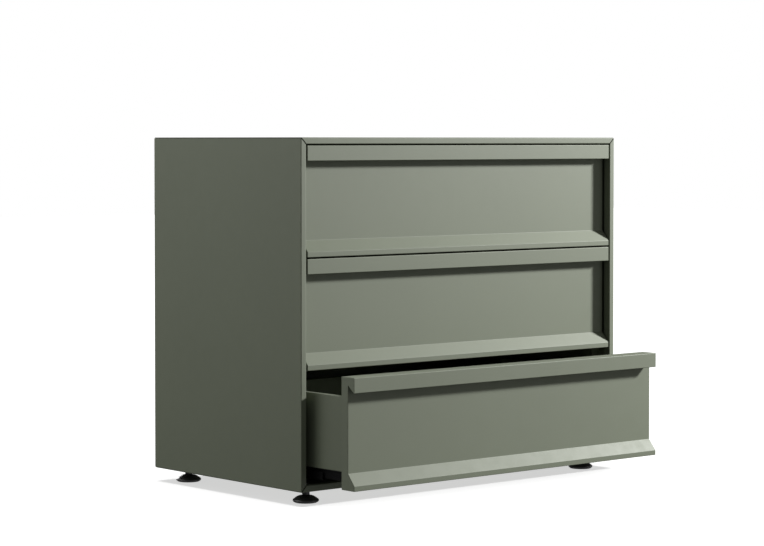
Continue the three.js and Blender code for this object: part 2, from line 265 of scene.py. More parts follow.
def add_turned(bm, profile, centre, axis, segments=32):
    """Adds a solid of revolution from (radius, height) or (radius, height, wave) points.

    A profile that leaves the axis closes on itself. A wave above zero dents that ring, as in
    the drive of a six-lobe screw.
    """
    turn = Vector(UP).rotation_difference(Vector(axis)).to_matrix()
    rings = []
    for radius, height, *wave in profile:
        dent = wave[0] if wave else 0.0
        ring = []
        for i in range(segments if radius > 0 else 1):
            angle = math.tau * i / segments
            r = radius * (1 - dent * (0.5 - 0.5 * math.cos(DRIVE_LOBES * angle)))
            local = Vector((r * math.cos(angle), r * math.sin(angle), height))
            ring.append(bm.verts.new(Vector(centre) + turn @ local))
        rings.append(ring)
    pairs = list(zip(rings, rings[1:]))
    if profile[0][0] > 0 and profile[-1][0] > 0:
        pairs.append((rings[-1], rings[0]))
    for low, high in pairs:
        for i in range(segments):
            j = (i + 1) % segments
            corners = dict.fromkeys((
                low[i % len(low)],
                low[j % len(low)],
                high[j % len(high)],
                high[i % len(high)],
            ))
            if len(corners) > 2:
                bm.faces.new(list(corners))


def add_plate(bm, low, high, radius):
    """Adds a plate with rounded corners, as thick as the shortest side of its box."""
    size = [high[i] - low[i] for i in range(3)]
    along = size.index(min(size))
    a, b = [i for i in range(3) if i != along]
    corners = [
        (low[a], low[b], radius),
        (high[a], low[b], radius),
        (high[a], high[b], radius),
        (low[a], high[b], radius),
    ]
    add_prism(bm, rounded(corners), along, low[along], high[along])


# ------------------------------------------------------------------ materials

NOISE_MIDDLE = (0.3, 0.7)  # most of a noise's values lie between these
EDGE_ON = (0.5, 0.8)  # the Facing values between which a face counts as seen edge-on


class Nodes:
    """A short way to wire one procedural material."""

    def __init__(self, name):
        self.material = bpy.data.materials.new(name)
        self.material.use_nodes = True
        self.tree = self.material.node_tree
        self.shader = self.tree.nodes["Principled BSDF"]
        self.position = self.tree.nodes.new("ShaderNodeTexCoord").outputs["Object"]

    def link(self, source, target):
        self.tree.links.new(source, target)

    def noise(self, scale, detail=2.0, roughness=0.5, stretch=None):
        """Noise in the object's own metres. A stretch under 1 draws it out along that axis."""
        node = self.tree.nodes.new("ShaderNodeTexNoise")
        node.inputs["Scale"].default_value = scale
        node.inputs["Detail"].default_value = detail
        node.inputs["Roughness"].default_value = roughness
        position = self.position
        if stretch:
            mapping = self.tree.nodes.new("ShaderNodeMapping")
            mapping.inputs["Scale"].default_value = stretch
            self.link(position, mapping.inputs["Vector"])
            position = mapping.outputs["Vector"]
        self.link(position, node.inputs["Vector"])
        return node.outputs["Fac"]

    def remap(self, value, low=0.0, high=1.0, source=NOISE_MIDDLE):
        """Spreads the values between the two of source, from low to high."""
        node = self.tree.nodes.new("ShaderNodeMapRange")
        sockets = ("From Min", "From Max", "To Min", "To Max")
        for socket, number in zip(sockets, (*source, low, high)):
            node.inputs[socket].default_value = number
        self.link(value, node.inputs["Value"])
        return node.outputs["Result"]

    def blend(self, factor, first, second):
        """A mix of two colours, each a tuple or the output of another node."""
        node = self.tree.nodes.new("ShaderNodeMix")
        node.data_type = "RGBA"
        for socket, colour in (("A", first), ("B", second)):
            target = [s for s in node.inputs if s.name == socket and s.type == "RGBA"][0]
            if isinstance(colour, tuple):
                target.default_value = (*colour, 1.0)
            else:
                self.link(colour, target)
        self.link(factor, node.inputs["Factor"])
        return [s for s in node.outputs if s.type == "RGBA"][0]

    def sum(self, first, second, weight):
        """The first value plus weight times the second."""
        node = self.tree.nodes.new("ShaderNodeMath")
        node.operation = "MULTIPLY_ADD"
        node.inputs[1].default_value = weight
        self.link(second, node.inputs[0])
        self.link(first, node.inputs[2])
        return node.outputs["Value"]

    def grazing(self):
        """0 where a face is seen squarely, and 1 where it is seen almost edge-on."""
        weight = self.tree.nodes.new("ShaderNodeLayerWeight")
        weight.inputs["Blend"].default_value = 0.5
        return self.remap(weight.outputs["Facing"], source=EDGE_ON)

    def bump(self, height, distance, strength):
        """Relief from a noise, as high as distance."""
        node = self.tree.nodes.new("ShaderNodeBump")
        node.inputs["Distance"].default_value = distance
        node.inputs["Strength"].default_value = strength
        self.link(height, node.inputs["Height"])
        self.link(node.outputs["Normal"], self.shader.inputs["Normal"])

    def set(self, **values):
        """Sets the shader's own sockets, with _ for a space in a name."""
        for name, value in values.items():
            self.shader.inputs[name.replace("_", " ")].default_value = value

    def colour(self, output):
        self.link(output, self.shader.inputs["Base Color"])

    def tint(self, noise, first, second):
        """Colours the material from first to second by a noise."""
        self.colour(self.blend(self.remap(noise), first, second))

    def roughness(self, output):
        self.link(output, self.shader.inputs["Roughness"])


ALONG_RAILS = (1.0, 0.03, 1.0)  # a noise's stretch, for streaks that run front to back


def powder_coat(name, tone, shade):
    """Satin powder coat: a fine orange peel, with faint speckle and slow drifts of tone."""
    nodes = Nodes(name)
    drift = nodes.remap(nodes.noise(scale=5.0, detail=3.0))
    speckle = nodes.remap(nodes.noise(scale=2600.0, detail=1.0), high=0.5)
    darker = tuple(channel * 0.93 for channel in shade)
    nodes.colour(nodes.blend(speckle, nodes.blend(drift, tone, shade), darker))
    satin = nodes.remap(nodes.noise(scale=40.0, detail=4.0, roughness=0.6), 0.52, 0.60)
    nodes.roughness(nodes.sum(satin, nodes.grazing(), weight=0.3))
    fine = nodes.noise(scale=2100.0, detail=1.0)
    peel = nodes.sum(nodes.noise(scale=620.0), fine, weight=0.35)
    nodes.bump(peel, distance=0.09 * MM, strength=0.5)
    return nodes.material


def zinc_plate(name):
    """Rolled zinc-plated steel, with drawn streaks along the rails and cloudy patches."""
    nodes = Nodes(name)
    clouds = nodes.noise(scale=60.0, detail=4.0, roughness=0.6)
    nodes.tint(clouds, (0.56, 0.57, 0.58), (0.42, 0.43, 0.45))
    streaks = nodes.noise(scale=900.0, detail=3.0, roughness=0.6, stretch=ALONG_RAILS)
    nodes.roughness(nodes.remap(streaks, 0.26, 0.44))
    nodes.bump(streaks, distance=0.03 * MM, strength=0.4)
    nodes.set(Metallic=1.0)
    return nodes.material


def moulded_black(name):
    """Black moulded nylon with a fine grain."""
    nodes = Nodes(name)
    grain = nodes.noise(scale=1500.0, detail=3.0, roughness=0.6)
    nodes.tint(grain, (0.018, 0.018, 0.019), (0.028, 0.028, 0.029))
    nodes.roughness(nodes.remap(nodes.noise(scale=200.0, detail=3.0), 0.32, 0.42))
    nodes.bump(grain, distance=0.05 * MM, strength=0.35)
    nodes.set(Specular_IOR_Level=0.9)
    return nodes.material


def blackened_steel(name):
    """Black zinc on turned steel, with faint rings from the tool."""
    nodes = Nodes(name)
    rings = nodes.noise(scale=700.0, stretch=(0.2, 0.2, 3.0))
    nodes.tint(rings, (0.045, 0.045, 0.047), (0.080, 0.080, 0.083))
    nodes.roughness(nodes.remap(rings, 0.30, 0.48))
    nodes.bump(rings, distance=0.03 * MM, strength=0.3)
    nodes.set(Metallic=0.8)
    return nodes.material


def electrocoat_and_painted_shade(name):
    """Thin black electrocoat over rolled steel with faint streaks, made darker than real as
    painted shade.
    """
    nodes = Nodes(name)
    streaks = nodes.noise(scale=900.0, detail=3.0, roughness=0.6, stretch=ALONG_RAILS)
    # near-black, far darker than a real coat: painted shade for the shadowed space under the
    # drawer boxes
    nodes.tint(streaks, (0.0035, 0.0035, 0.0037), (0.0060, 0.0060, 0.0062))
    patches = nodes.noise(scale=90.0, detail=4.0, roughness=0.6)
    nodes.roughness(nodes.remap(patches, 0.38, 0.50))
    nodes.bump(streaks, distance=0.02 * MM, strength=0.3)
    nodes.set(Specular_IOR_Level=0.1)
    return nodes.material


def ball_steel(name):
    """Hardened bearing balls."""
    nodes = Nodes(name)
    haze = nodes.noise(scale=800.0)
    nodes.tint(haze, (0.70, 0.70, 0.71), (0.60, 0.61, 0.62))
    nodes.roughness(nodes.remap(haze, 0.10, 0.18))
    nodes.set(Metallic=1.0)
    return nodes.material


def soft_rubber(name):
    """Grey rubber of the closing buffers."""
    nodes = Nodes(name)
    grain = nodes.noise(scale=1800.0)
    nodes.tint(grain, (0.055, 0.055, 0.055), (0.085, 0.085, 0.082))
    nodes.roughness(nodes.remap(grain, 0.65, 0.80))
    nodes.bump(grain, distance=0.05 * MM, strength=0.4)
    return nodes.material


PAINT_TONE = (0.155, 0.176, 0.122)
PAINT_SHADE = (0.148, 0.168, 0.117)

CASING_PAINT = powder_coat("casing_powder_coat", PAINT_TONE, PAINT_SHADE)
DRAWER_PAINT = powder_coat("drawer_powder_coat", PAINT_TONE, PAINT_SHADE)
ZINC = zinc_plate("zinc_plated_steel")
BALL_STEEL = ball_steel("bearing_steel")
# the slides' black coat is darkened further, as painted shade under the drawer boxes
BLACK_RAIL = electrocoat_and_painted_shade("black_electrocoat")
BLACK_NYLON = moulded_black("black_nylon")
BLACK_STEEL = blackened_steel("black_zinc_steel")
RUBBER = soft_rubber("grey_rubber")

# ------------------------------------------------------------------ places taken from the CAD

LEFT_X, FRONT_Y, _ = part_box("left_side_panel")[0]
RIGHT_X, REAR_Y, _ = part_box("right_side_panel")[1]
FLOOR_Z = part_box("bottom_panel")[0].z
TOP_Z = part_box("top_panel")[1].z


def sided_box(node, sign):
    """A node's outer and inner X, as seen from the cabinet's middle, then its Y and Z ranges."""
    low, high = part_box(node)
    outer, inner = (low.x, high.x) if sign < 0 else (high.x, low.x)
    return outer, inner, (low.y, high.y), (low.z, high.z)


def foot_places():
    """Each foot's name and the middle of its pad."""
    places = []
    for end in ENDS:
        for side in SIDES:
            low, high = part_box(f"{end}_{side}_foot_pad")
            places.append((f"{end}_{side}", (low + high) / 2))
    return places


# ------------------------------------------------------------------ fasteners

SCREW_SHANK = 1.0 * MM  # how far each fastener sinks into its sheet
RIVET_SHANK = 0.6 * MM
SHANK_SHARE = 0.55  # of the head's radius
HEAD_SEAT = 0.05 * MM  # the height of a head's lower edge
DRIVE_LOBES = 6
DRIVE_DENT = 0.24  # how deep its lobes cut, as a share of the drive's radius


def screw_profile(head, height):
    """A domed head with a six-lobe drive, from its shank to its middle.

    head is the head's radius. Its curve is given in shares of that radius and of its height.
    """
    shank = head * SHANK_SHARE
    return [
        (0.0, -SCREW_SHANK),
        (shank, -SCREW_SHANK),
        (shank, 0.0),
        (head, HEAD_SEAT),
        (head, height * 0.35),
        (head * 0.93, height * 0.62),
        (head * 0.78, height * 0.86),
        (head * 0.60, height),
        (head * 0.50, height, DRIVE_DENT),
        (head * 0.46, height * 0.25, DRIVE_DENT),
        (0.0, height * 0.15),
    ]


def rivet_profile(head, height):
    """A domed head with the small dimple that its mandrel leaves, in the same shares."""
    shank = head * SHANK_SHARE
    return [
        (0.0, -RIVET_SHANK),
        (shank, -RIVET_SHANK),
        (shank, 0.0),
        (head, HEAD_SEAT),
        (head * 0.96, height * 0.35),
        (head * 0.80, height * 0.70),
        (head * 0.55, height * 0.92),
        (head * 0.30, height),
        (head * 0.24, height * 0.70),
        (0.0, height * 0.70),
    ]


def add_fasteners(name, body, places, axis, profile, material):
    """One piece for a set of like fasteners that all face along axis."""
    bm = bmesh.new()
    for centre in places:
        add_turned(bm, profile, centre, axis, segments=36)
    return finished(name, bm, material, body)


PANEL_SCREW = screw_profile(3.6 * MM, 1.9 * MM)
RAIL_SCREW = screw_profile(3.8 * MM, 1.8 * MM)
BOX_RIVET = rivet_profile(3.2 * MM, 1.2 * MM)

# ------------------------------------------------------------------ casing

HOLE_PLAY = 0.75 * MM  # between a foot's stem and the bottom panel's hole
BACK_SCREW_MARGIN = 60 * MM  # from a corner to the nearest screw


def casing_panel(name, along, outer, inwards, start, end, cutter=None):
    """One folded outer panel, mitred at both ends. inwards is +1 or -1 from its outer face."""
    spine = []
    for y, fold in (
        (REAR_Y, EDGE),
        (REAR_Y, 0.0),
        (FRONT_Y, 0.0),
        (FRONT_Y, EDGE),
        (FRONT_Y + RETURN, EDGE),
    ):
        across = outer + inwards * fold
        spine.append((across, y) if along == Z else (y, across))

    def drawn_back(point):
        """The cut of the mitre, at 45 degrees from the panel's outer corner."""
        across = point[0] if along == Z else point[1]
        return abs(across - outer) + JOINT_LINE

    bm = bmesh.new()
    add_prism(bm, folded(spine, SHEET), along, start, end, trim=drawn_back)
    finished(f"{name}_sheet", bm, CASING_PAINT, "casing", [name], cutter)


def foot_holes():
    """What is cut out of the bottom panel where the stems go through."""
    bm = bmesh.new()
    radius = THREAD_RADIUS + HOLE_PLAY
    profile = [(0.0, -SHEET), (radius, -SHEET), (radius, 2 * SHEET), (0.0, 2 * SHEET)]
    for _, centre in foot_places():
        add_turned(bm, profile, (centre.x, centre.y, FLOOR_Z), UP)
    return bm


def build_casing_panels():
    """The two sides, the top and the bottom."""
    for side, sign in SIDES.items():
        outer = LEFT_X if sign < 0 else RIGHT_X
        casing_panel(f"{side}_side_panel", Z, outer, -sign, FLOOR_Z, TOP_Z)
    casing_panel("top_panel", X, TOP_Z, -1, LEFT_X, RIGHT_X)
    casing_panel("bottom_panel", X, FLOOR_Z, 1, LEFT_X, RIGHT_X, foot_holes())


def build_back():
    """The back panel, with a fold along its top and bottom."""
    low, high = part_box("back_panel")
    spine = [(low.y, high.z), (high.y, high.z), (high.y, low.z), (low.y, low.z)]
    bm = bmesh.new()
    add_prism(bm, folded(spine, SHEET), X, low.x, high.x)
    finished("back_panel_sheet", bm, CASING_PAINT, "casing", ["back_panel"])


def build_back_screws():
    """Screws through the casing's rear edges into the back."""
    left, right = LEFT_X + EDGE / 2, RIGHT_X - EDGE / 2
    bottom, top = FLOOR_Z + EDGE / 2, TOP_Z - EDGE / 2
    places = []
    for x in spread(left + BACK_SCREW_MARGIN, right - BACK_SCREW_MARGIN, 5):
        places += [(x, REAR_Y, bottom), (x, REAR_Y, top)]
    for z in spread(bottom + BACK_SCREW_MARGIN, top - BACK_SCREW_MARGIN, 4):
        places += [(left, REAR_Y, z), (right, REAR_Y, z)]
    add_fasteners("back_screws", "casing", places, TO_REAR, PANEL_SCREW, BLACK_STEEL)


def build_uprights():
    """The four channels inside the sides, which carry the slides."""
    for end in ENDS:
        for side, sign in SIDES.items():
            node = f"{end}_{side}_upright"
            outer, inner, (y0, y1), (z0, z1) = sided_box(node, sign)
            spine = [(outer, y0), (inner, y0), (inner, y1), (outer, y1)]
            bm = bmesh.new()
            add_prism(bm, folded(spine, UPRIGHT_SHEET, UPRIGHT_BEND), Z, z0, z1)
            finished(f"{node}_channel", bm, CASING_PAINT, "casing", [node])


# ------------------------------------------------------------------ drawers

FRONT_SCREW_INSET = 14 * MM  # from the box's sides
FRONT_SCREW_HEIGHT = 22 * MM  # from the sides' top and bottom
FRONT_SCREW_REACH = 200 * MM  # of the low row, each way from the middle
RIVET_MARGIN = 20 * MM
FLOOR_RIVET_INSET = 7 * MM
REAR_RIVET_INSET = 8 * MM
BUFFER_RADIUS = 4 * MM
BUFFER_GAP = 0.2 * MM  # left before the uprights when the drawer is closed
BUFFER_FOOT = 0.02 * MM  # keeps the buffer's foot off the liner's face
BUFFER_INSETS = (5 * MM, 15 * MM)  # from the liner's ends, and its top and bottom


def build_front(level):
    """The folded front with welded ends, and the liner in its hollow back."""
    node = f"{level}_drawer_front"
    body = f"{level}_drawer"
    low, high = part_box(node)
    corners = [
        (low.y, high.z, FRONT_BEND),
        (low.y, high.z - LIP_HEIGHT - HOOK_POINT, FRONT_CORNER),
        (low.y + RECESS, high.z - LIP_ROOT, PANEL_CORNER),
        (low.y + RECESS, high.z - LEDGE_TOP, FRONT_BEND),
        (low.y, low.z + LEDGE_FACE, FRONT_BEND),
        (low.y, low.z, FRONT_CORNER),
        (high.y, low.z, FRONT_CORNER),
        (high.y, high.z, FRONT_CORNER),
    ]
    bm = bmesh.new()
    sides = add_prism(bm, rounded(corners), X, low.x, high.x, FRONT_SOFT_EDGE)
    bmesh.ops.recalc_face_normals(bm, faces=bm.faces)
    backs = [face for face in sides if high.y - face.calc_center_median().y < FLATNESS]
    rear = max(backs, key=lambda face: face.calc_area())
    bmesh.ops.inset_region(bm, faces=[rear], thickness=HOLLOW_RIM)
    bmesh.ops.inset_region(bm, faces=[rear], thickness=HOLLOW_TAPER, depth=-HOLLOW_DEPTH)
    finished(f"{level}_front_skin", bm, DRAWER_PAINT, body, [node])

    node = f"{level}_drawer_liner"
    bm = bmesh.new()
    add_plate(bm, *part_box(node), PLATE_CORNER)
    finished(f"{level}_front_liner", bm, DRAWER_PAINT, body, [node])


def build_box(level):
    """The drawer's box: two sides, a back and a floor."""
    body = f"{level}_drawer"
    for side, sign in SIDES.items():
        node = f"{level}_drawer_{side}_side"
        outer, inner, (y0, y1), (z0, z1) = sided_box(node, sign)
        spine = [
            (inner, z0),
            (outer, z0),
            (outer, z1),
            (inner, z1),
            (inner, z1 - BOX_FOLD_DROP - SHEET),
        ]
        bm = bmesh.new()
        add_prism(bm, folded(spine, SHEET), Y, y0, y1)
        finished(f"{level}_box_{side}_side", bm, DRAWER_PAINT, body, [node])

    node = f"{level}_drawer_back"
    low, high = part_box(node)
    spine = [(low.y, low.z), (low.y, high.z), (high.y, high.z)]
    bm = bmesh.new()
    add_prism(bm, folded(spine, SHEET), X, low.x, high.x)
    finished(f"{level}_box_back", bm, DRAWER_PAINT, body, [node])

    node = f"{level}_drawer_floor"
    bm = bmesh.new()
    add_plate(bm, *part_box(node), PLATE_CORNER)
    finished(f"{level}_box_floor", bm, DRAWER_PAINT, body, [node])


def build_drawer_fasteners(level):
    """Screws from the box into the front, rivets at its rear corners and along its floor."""
    body = f"{level}_drawer"
    liner_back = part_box(f"{level}_drawer_liner")[1].y
    floor_low, floor_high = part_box(f"{level}_drawer_floor")
    side_low, side_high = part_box(f"{level}_drawer_left_side")
    reach = side_high.x + FRONT_SCREW_INSET
    low_row = side_low.z + FRONT_SCREW_HEIGHT
    places = []
    for x in (reach, -reach):
        for z in (low_row, side_high.z - FRONT_SCREW_HEIGHT):
            places.append((x, liner_back, z))
    for x in spread(-FRONT_SCREW_REACH, FRONT_SCREW_REACH, 3):
        places.append((x, liner_back, low_row))
    add_fasteners(f"{level}_front_screws", body, places, TO_REAR, PANEL_SCREW, ZINC)

    places = []
    for x in (floor_low.x + FLOOR_RIVET_INSET, floor_high.x - FLOOR_RIVET_INSET):
        for y in spread(floor_low.y + RIVET_MARGIN, floor_high.y - RIVET_MARGIN, 4):
            places.append((x, y, floor_high.z))
    add_fasteners(f"{level}_floor_rivets", body, places, UP, BOX_RIVET, ZINC)

    for side, sign in SIDES.items():
        x = sign * -side_low.x
        heights = spread(side_low.z + RIVET_MARGIN, side_high.z - 1.5 * RIVET_MARGIN, 3)
        places = [(x, side_high.y - REAR_RIVET_INSET, z) for z in heights]
        name = f"{level}_box_{side}_rivets"
        add_fasteners(name, body, places, (sign, 0, 0), BOX_RIVET, DRAWER_PAINT)


def build_buffers(level):
    """Rubber buffers on the front's back, which meet the front uprights."""
    liner_low, liner_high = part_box(f"{level}_drawer_liner")
    front_depth = liner_high.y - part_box(f"{level}_drawer_front")[0].y
    upright_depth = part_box("front_left_upright")[0].y - FRONT_Y
    thick = upright_depth - front_depth - BUFFER_GAP
    radius = BUFFER_RADIUS
    profile = [
        (0.0, BUFFER_FOOT),
        (radius, BUFFER_FOOT),
        (radius, thick * 0.45),
        (radius * 0.92, thick * 0.72),
        (radius * 0.72, thick * 0.92),
        (radius * 0.45, thick),
        (0.0, thick),
    ]
    from_end, from_edge = BUFFER_INSETS
    bm = bmesh.new()
    for x in (liner_low.x + from_end, liner_high.x - from_end):
        for z in (liner_low.z + from_edge, liner_high.z - from_edge):
            add_turned(bm, profile, (x, liner_high.y, z), TO_REAR)
    finished(f"{level}_closing_buffers", bm, RUBBER, f"{level}_drawer")


# ------------------------------------------------------------------ slides

RAIL_SCREWS = (12 * MM, 8 * MM)  # from the cabinet rail's front end and from its rear end
RAIL_FILLET = 0.5 * MM
CAGE_MARGIN = 12 * MM  # from the telescope rail's end to the nearest cage
SCREW_CLEARANCE = 22 * MM  # clears the rail's front screw when the drawer is fully open
OUTER_BALLS = 5.5 * MM  # their height above the telescope rail's lower side
INNER_BALLS = 5 * MM  # how far below its upper side they are
BALL_PLAY = 0.03 * MM
BALL_STEPS = 8  # from pole to pole


def build_rails(level):
    """On each side the cabinet rail with its screws, the telescope rail and the drawer rail."""
    for side, sign in SIDES.items():
        node = f"{level}_{side}_cabinet_rail"
        outer, inner, (y0, y1), (z0, z1) = sided_box(node, sign)
        spine = [(outer, z1), (outer, z0), (inner, z0), (inner, z0 + CABINET_RAIL_LIP)]
        bm = bmesh.new()
        add_prism(bm, folded(spine, RAIL_SHEET, RAIL_BEND), Y, y0, y1)
        finished(f"{node}_section", bm, BLACK_RAIL, "casing", [node])
        web = outer - sign * RAIL_SHEET
        places = [(web, y, (z0 + z1) / 2) for y in (y0 + RAIL_SCREWS[0], y1 - RAIL_SCREWS[1])]
        name = f"{node}_screws"
        add_fasteners(name, "casing", places, (-sign, 0, 0), RAIL_SCREW, BLACK_STEEL)

        node = f"{level}_{side}_telescope_rail"
        outer, inner, (y0, y1), (z0, z1) = sided_box(node, sign)
        spine = [(outer, z1), (outer, z0), (inner, z0), (inner, z1)]
        bm = bmesh.new()
        add_prism(bm, folded(spine, SHEET, TELESCOPE_BEND), Y, y0, y1)
        finished(f"{node}_section", bm, BLACK_RAIL, node, [node])

        node = f"{level}_{side}_drawer_rail"
        outer, inner, (y0, y1), (z0, z1) = sided_box(node, sign)
        bm = bmesh.new()
        add_prism(bm, drawer_rail_outline(outer, inner, z0, z1, sign), Y, y0, y1)
        finished(f"{node}_section", bm, BLACK_RAIL, f"{level}_drawer", [node])


def drawer_rail_outline(outer, inner, bottom, top, sign):
    """A flange under the box with two legs that run between the telescope rail's walls."""
    inwards = -sign
    leg = outer + inwards * DRAWER_RAIL_FLANGE
    far_leg = leg + inwards * DRAWER_RAIL_LEGS
    wall = inwards * RAIL_SHEET
    under = top - RAIL_SHEET
    fillet = RAIL_FILLET
    return rounded([
        (outer, top, 0.0),
        (outer, under, 0.0),
        (leg, under, fillet),
        (leg, bottom, fillet),
        (leg + wall, bottom, fillet),
        (leg + wall, under, fillet),
        (far_leg - wall, under, fillet),
        (far_leg - wall, bottom, fillet),
        (far_leg, bottom, fillet),
        (far_leg, under, fillet),
        (inner, under, 0.0),
        (inner, top, 0.0),
    ])


def ball_profile(radius):
    """A sphere from pole to pole."""
    points = [(0.0, -radius)]
    for i in range(1, BALL_STEPS):
        angle = math.pi * i / BALL_STEPS
        points.append((radius * math.sin(angle), -radius * math.cos(angle)))
    points.append((0.0, radius))
    return points


def add_cage(cage, balls, wall, opposite, z, y0, y1):
    """A strip with a row of balls that fill the gap between two walls, given by their X."""
    x = (wall + opposite) / 2
    radius = abs(opposite - wall) / 2 - BALL_PLAY
    half_thickness, half_width = 0.35 * radius, 1.25 * radius
    low = (x - half_thickness, y0, z - half_width)
    high = (x + half_thickness, y1, z + half_width)
    add_plate(cage, low, high, 0.6 * radius)
    margin = 2 * radius
    pitch = 3.2 * radius
    count = int((y1 - y0 - 2 * margin) / pitch) + 1
    for y in spread(y0 + margin, y1 - margin, count):
        add_turned(balls, ball_profile(radius), (x, y, z), TO_RIGHT, segments=16)


def build_cages(level):
    """Ball cages on both sides of each telescope rail.

    The outer ones sit in its rear half and the inner ones in its front half, so that each
    stays between its two rails from closed to fully open.
    """
    for side, sign in SIDES.items():
        node = f"{level}_{side}_telescope_rail"
        outer, inner, (y0, y1), (z0, z1) = sided_box(node, sign)
        cabinet = sided_box(f"{level}_{side}_cabinet_rail", sign)
        drawer_outer = sided_box(f"{level}_{side}_drawer_rail", sign)[0]
        leg = drawer_outer - sign * DRAWER_RAIL_FLANGE
        far_leg = leg - sign * DRAWER_RAIL_LEGS
        middle = (y0 + y1) / 2
        outer_run = (z0 + OUTER_BALLS, middle + SCREW_CLEARANCE, y1 - CAGE_MARGIN)
        inner_run = (z1 - INNER_BALLS, y0 + CAGE_MARGIN, middle)
        gaps = [
            (cabinet[0] - sign * RAIL_SHEET, outer, *outer_run),
            (cabinet[1] + sign * RAIL_SHEET, inner, *outer_run),
            (outer - sign * SHEET, leg, *inner_run),
            (inner + sign * SHEET, far_leg, *inner_run),
        ]
        cage = bmesh.new()
        balls = bmesh.new()
        for gap in gaps:
            add_cage(cage, balls, *gap)
        finished(f"{level}_{side}_ball_cages", cage, BLACK_NYLON, node)
        finished(f"{level}_{side}_balls", balls, BALL_STEEL, node)


# ------------------------------------------------------------------ feet

FOOT_PLAY = 0.3 * MM  # between a foot's pad, stem and nut
THREAD_DEPTH = 0.6 * MM
THREAD_LEAD_IN = 0.8 * MM  # the length of the chamfer at the stem's upper end
THREAD_ROWS = 8  # in one turn
COLLAR_CHAMFER = 0.7 * MM
COLLAR_END = 0.86  # of the collar's radius
PIN_CHAMFER = 1.0 * MM
PIN_END = 0.8  # of the pin's radius
PIN_OVERLAP = 0.5 * MM  # the pin and the thread both run a little into the collar
THREAD_OVERLAP = 0.4 * MM
BASE_INSETS = (4 * MM, 3.4 * MM)  # from the pad's edge to the two ends of its base chamfer
BASE_CHAMFER = 0.2 * MM
RIM_RADIUS = 1.9 * MM
RIM_STRETCH = 1.25  # the rim's height over its width
RIM_HEIGHT = 4.0 * MM  # of the rim's middle
RIM_ANGLES = (-70, 80)  # degrees, from under the rim to its top
CROWN_RADIUS = 8.6 * MM
CROWN_HEIGHT = 13.0 * MM
CROWN_FULLNESS = 0.9  # under 1 the dome is fuller near the rim
SOCKET_LIP = 0.4 * MM


def add_thread(bm, centre, bottom, top):
    """A rod with a helical ridge, drawn as a surface whose radius follows the helix."""
    segments = 32
    rows = int((top - bottom) / THREAD_PITCH * THREAD_ROWS)
    rings = []
    for row in range(rows + 1):
        z = bottom + (top - bottom) * row / rows
        taper = max(0.0, 1 - (top - z) / THREAD_LEAD_IN)
        ring = []
        for i in range(segments):
            phase = ((z - bottom) / THREAD_PITCH - i / segments) % 1.0
            ridge = abs(2 * phase - 1)
            radius = THREAD_RADIUS - THREAD_DEPTH * (ridge + taper)
            angle = math.tau * i / segments
            x = centre.x + radius * math.cos(angle)
            y = centre.y + radius * math.sin(angle)
            ring.append(bm.verts.new((x, y, z)))
        rings.append(ring)
    for low, high in zip(rings, rings[1:]):
        for i in range(segments):
            j = (i + 1) % segments
            bm.faces.new((low[i], low[j], high[j], high[i]))
    bm.faces.new(rings[0][::-1])
    bm.faces.new(rings[-1])


def pad_profile(radius):
    """A domed pad with a rolled rim, a raised lip round its socket and a chamfered base."""
    flat, edge = (radius - distance for distance in BASE_INSETS)
    points = [(0.0, 0.0), (flat, 0.0), (edge, BASE_CHAMFER)]
    for degrees in spread(*RIM_ANGLES, 9):
        angle = math.radians(degrees)
        r = radius - RIM_RADIUS + RIM_RADIUS * math.cos(angle)
        points.append((r, RIM_HEIGHT + RIM_RADIUS * math.sin(angle) * RIM_STRETCH))
    rim_r, rim_z = points[-1]
    steps = 10
    for i in range(1, steps + 1):
        share = i / steps
        rise = math.sin(share * math.pi / 2) ** CROWN_FULLNESS
        r = rim_r + (CROWN_RADIUS - rim_r) * share
        points.append((r, rim_z + (CROWN_HEIGHT - rim_z) * rise))
    points += [
        (8.2 * MM, 13.35 * MM),
        (7.6 * MM, PAD_HEIGHT),
        (SOCKET_RADIUS + SOCKET_LIP, PAD_HEIGHT),
        (SOCKET_RADIUS, PAD_HEIGHT - SOCKET_LIP),
        (SOCKET_RADIUS, SOCKET_FLOOR),
        (0.0, SOCKET_FLOOR),
    ]
    return points


def nut_profile(radius, low, high):
    """A threaded insert: a flange on the bottom panel, a sleeve above it and the bore."""
    bore = THREAD_RADIUS + FOOT_PLAY
    sleeve = radius * 0.62
    return [
        (bore, low),
        (radius, low),
        (radius, low + 1.2 * MM),
        (radius - 0.3 * MM, low + 1.5 * MM),
        (radius * 0.66, low + 1.8 * MM),
        (sleeve, low + 2.4 * MM),
        (sleeve, high - 0.5 * MM),
        (radius * 0.58, high),
        (bore + 0.4 * MM, high),
        (bore, high - 0.4 * MM),
    ]


